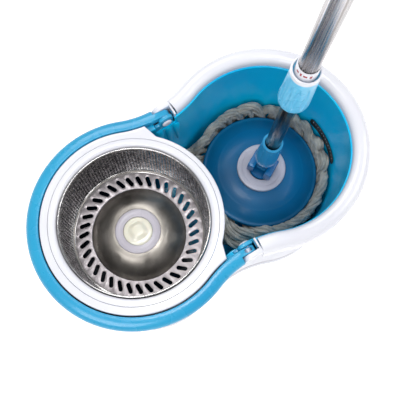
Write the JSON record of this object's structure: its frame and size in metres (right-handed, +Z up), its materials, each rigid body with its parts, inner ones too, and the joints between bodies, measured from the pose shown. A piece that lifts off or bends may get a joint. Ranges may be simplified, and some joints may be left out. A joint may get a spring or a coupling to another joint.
{
  "type": "spin mop and bucket",
  "caption": "Spin mop standing in a figure-eight bucket with a perforated wringer basket, swing handle and telescopic pole.",
  "frame": {"origin": "on the floor under the bucket, half-way between the centres of the two lobes", "axes": "+Z up, +X from the basket lobe towards the mop lobe, +Y across the bucket"},
  "size_m": [0.48, 0.2796, 1.1413],
  "materials": {
    "white_plastic": "glossy injection-moulded white",
    "sky_blue_plastic": "satin sky blue",
    "tub_blue_plastic": "glossy mid blue",
    "plate_blue_plastic": "satin deep blue",
    "lavender_plastic": "satin pale lavender grey",
    "ivory_plastic": "translucent ivory",
    "stainless": "polished stainless steel",
    "wet_yarn": "wet grey-white microfibre yarn",
    "black_strip": "black printed strip with plain light marks",
    "nylon": "natural nylon"
  },
  "bodies": {
    "bucket": {"outer_bucket": "white_plastic", "inner_tub": "tub_blue_plastic", "tub_rim": "white_plastic", "basket_deck": "white_plastic", "splash_ring": "white_plastic", "water_level_strip": "black_strip", "pivot_bracket_front": "white_plastic", "pivot_bracket_back": "white_plastic", "handle_pin_front": "white_plastic", "handle_pin_back": "white_plastic", "pedestal": "tub_blue_plastic", "pedestal_screw_1": "stainless", "pedestal_screw_2": "stainless", "pedestal_screw_3": "stainless", "pedestal_screw_4": "stainless", "upper_bush": "nylon", "lower_bush": "nylon", "thrust_washer": "nylon"},
    "handle": {"handle_bail": "sky_blue_plastic"},
    "basket": {"basket_wall": "stainless", "basket_floor": "stainless", "basket_dome": "stainless", "hub_ring": "lavender_plastic", "hub_cap": "ivory_plastic", "hub_core": "white_plastic", "hub_carrier": "white_plastic", "spindle": "stainless", "spindle_nut": "stainless"},
    "mop_base": {"swivel_base": "plate_blue_plastic", "stem_clip": "stainless", "fork_pin": "stainless"},
    "mop_disc": {"mop_plate": "plate_blue_plastic", "centre_ring": "lavender_plastic", "strand_ring": "white_plastic", "mop_strands": "wet_yarn"},
    "pole_foot": {"pole_yoke": "sky_blue_plastic", "lower_pole": "stainless", "spiral_nut": "nylon"},
    "pole_top": {"upper_pole": "stainless", "lock_collar": "white_plastic", "spiral_rod": "stainless", "rod_plug": "nylon", "hand_grip": "sky_blue_plastic", "end_cap": "sky_blue_plastic"},
    "lock": {"lock_sleeve": "sky_blue_plastic", "lock_ring": "white_plastic"}
  },
  "joints": [
    {"name": "handle_swing", "type": "hinge", "parent": "bucket", "child": "handle", "pos_m": [0.006, 0, 0.225], "axis": [0, 1, 0], "range_deg": [0, 90]},
    {"name": "basket_spin", "type": "hinge", "parent": "bucket", "child": "basket", "pos_m": [-0.1, 0, 0.15], "axis": [0, 0, 1], "continuous": true},
    {"name": "mop_lift", "type": "slide", "parent": "bucket", "child": "mop_base", "axis": [0, 0, 1], "range_m": [0, 0.3]},
    {"name": "plate_spin", "type": "hinge", "parent": "mop_base", "child": "mop_disc", "pos_m": [0.1053, 0.0003, 0.116], "axis": [0.0459, -0.0251, 0.9986], "range_deg": [0, 720]},
    {"name": "pole_tilt", "type": "hinge", "parent": "mop_base", "child": "pole_foot", "pos_m": [0.10613, -0.00015, 0.13398], "axis": [-0.4838, 0.8741, 0.0442], "range_deg": [-15, 30]},
    {"name": "pole_pump", "type": "slide", "parent": "pole_foot", "child": "pole_top", "axis": [0.0459, -0.0251, 0.9986], "range_m": [-0.1, 0]},
    {"name": "sleeve_twist", "type": "hinge", "parent": "pole_top", "child": "lock", "pos_m": [0.11918, -0.00727, 0.41759], "axis": [0.0459, -0.0251, 0.9986], "range_deg": [0, 90]}
  ],
  "couplings": [
    {"joint": "plate_spin", "follows": "pole_pump", "rad_per_m": -125.66}
  ]
}
